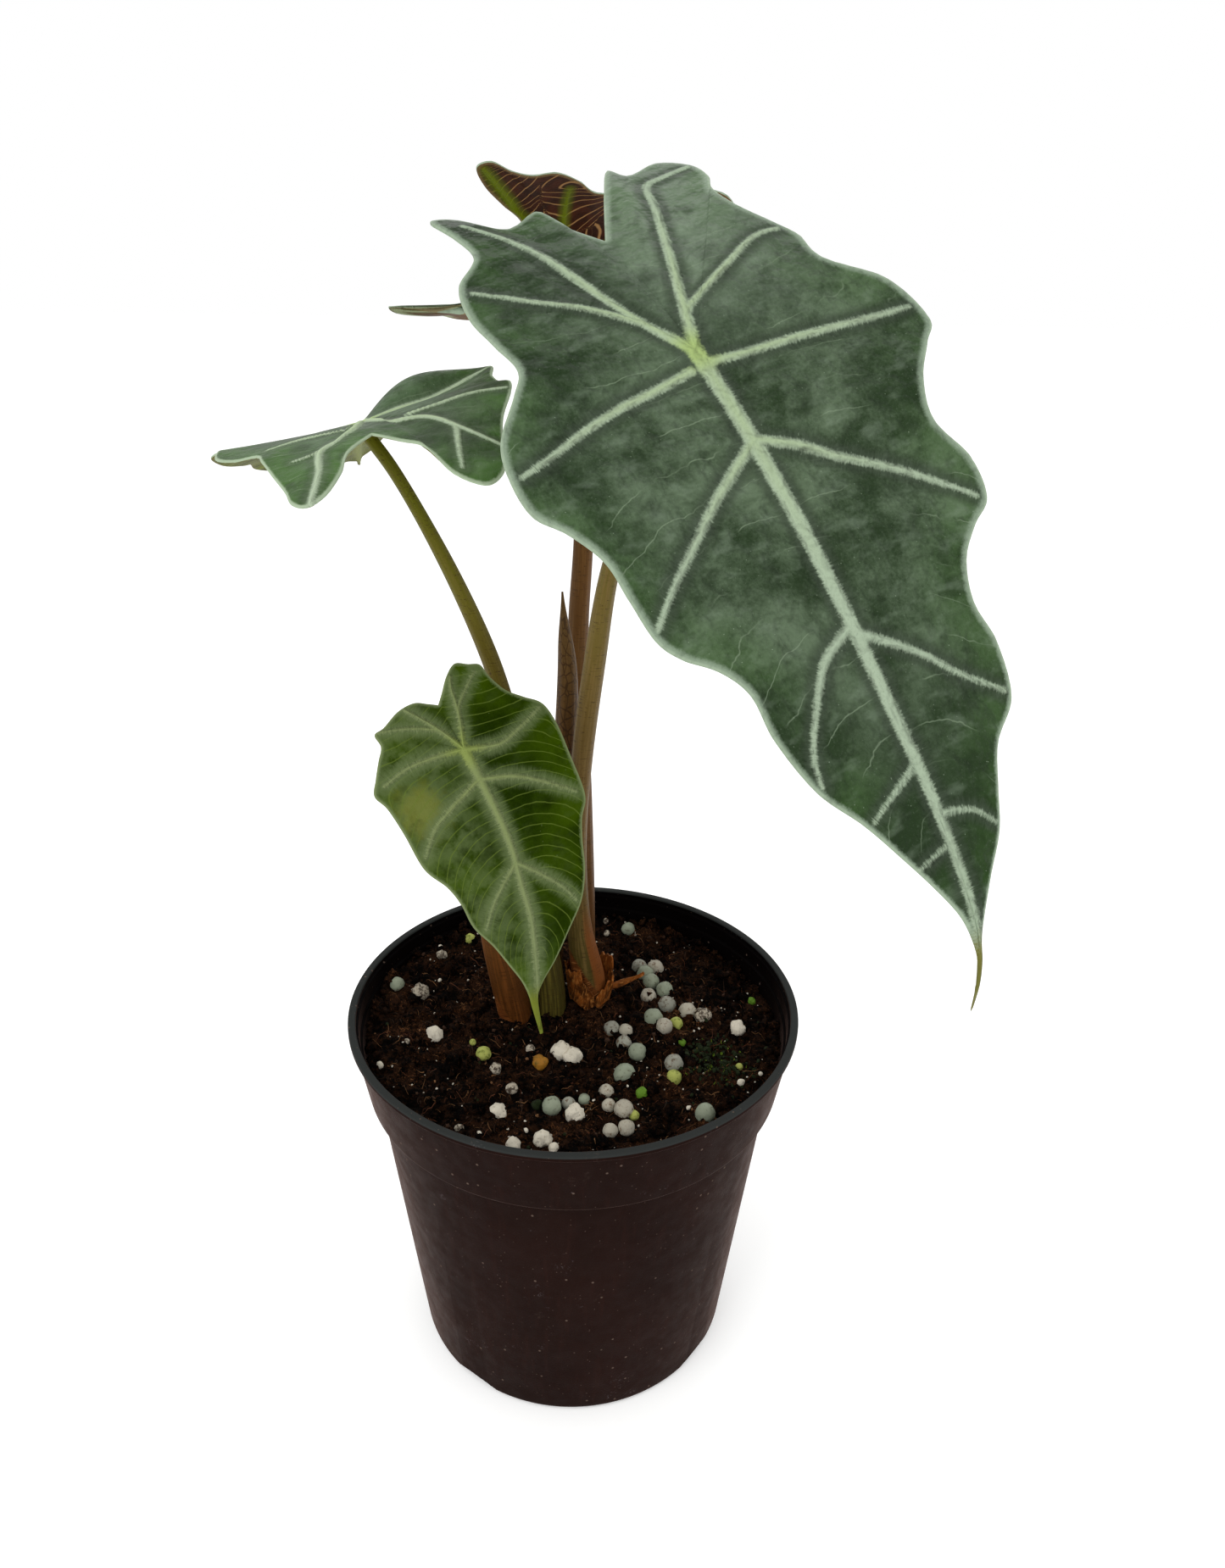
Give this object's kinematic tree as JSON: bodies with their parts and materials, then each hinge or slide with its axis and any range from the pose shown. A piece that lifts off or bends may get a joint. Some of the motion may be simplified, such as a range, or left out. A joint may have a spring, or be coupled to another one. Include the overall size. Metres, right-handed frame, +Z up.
{
  "type": "potted plant",
  "caption": "Arrow-leaved foliage plant with thick pale-veined leaves on slender stems, growing from peat in a tapered plastic nursery pot; stands on a table, sill or floor as decoration.",
  "frame": {"origin": "on the pot's axis, in the plane that the pot's foot stands on", "axes": "+Z up along the pot's axis; -Y towards the side that shows the large leaf's face; +X to that viewer's right"},
  "size_m": [0.1723, 0.1886, 0.306],
  "materials": {
    "pot": "dark brown matte plastic with scuffs and dust",
    "soil": "moist dark peat with fibres, perlite, fertiliser prills and moss",
    "leaf_upper_dark": "dark grey-green leaf with a silvery sheen and pale veins",
    "leaf_upper_bright": "bright green young leaf with pale veins",
    "leaf_underside": "maroon-brown underside with tan veins",
    "stem_tan": "reddish tan stem with fine dark cross marks",
    "stem_olive": "olive stem that turns brown towards its foot",
    "dry_sheath": "papery orange-brown fibres"
  },
  "bodies": {
    "root": {"pot": "pot", "soil": "soil", "leaf_front_petiole": "stem_tan", "leaf_left_petiole": "stem_olive", "leaf_small_petiole": "stem_tan", "leaf_back_petiole": "stem_tan", "new_leaf_sheath": "stem_tan", "leaf_front_blade": "leaf_upper_dark", "leaf_left_blade": "leaf_upper_dark", "leaf_small_blade": "leaf_upper_bright", "leaf_back_blade": "leaf_underside", "dry_sheath": "dry_sheath"}
  },
  "joints": []
}
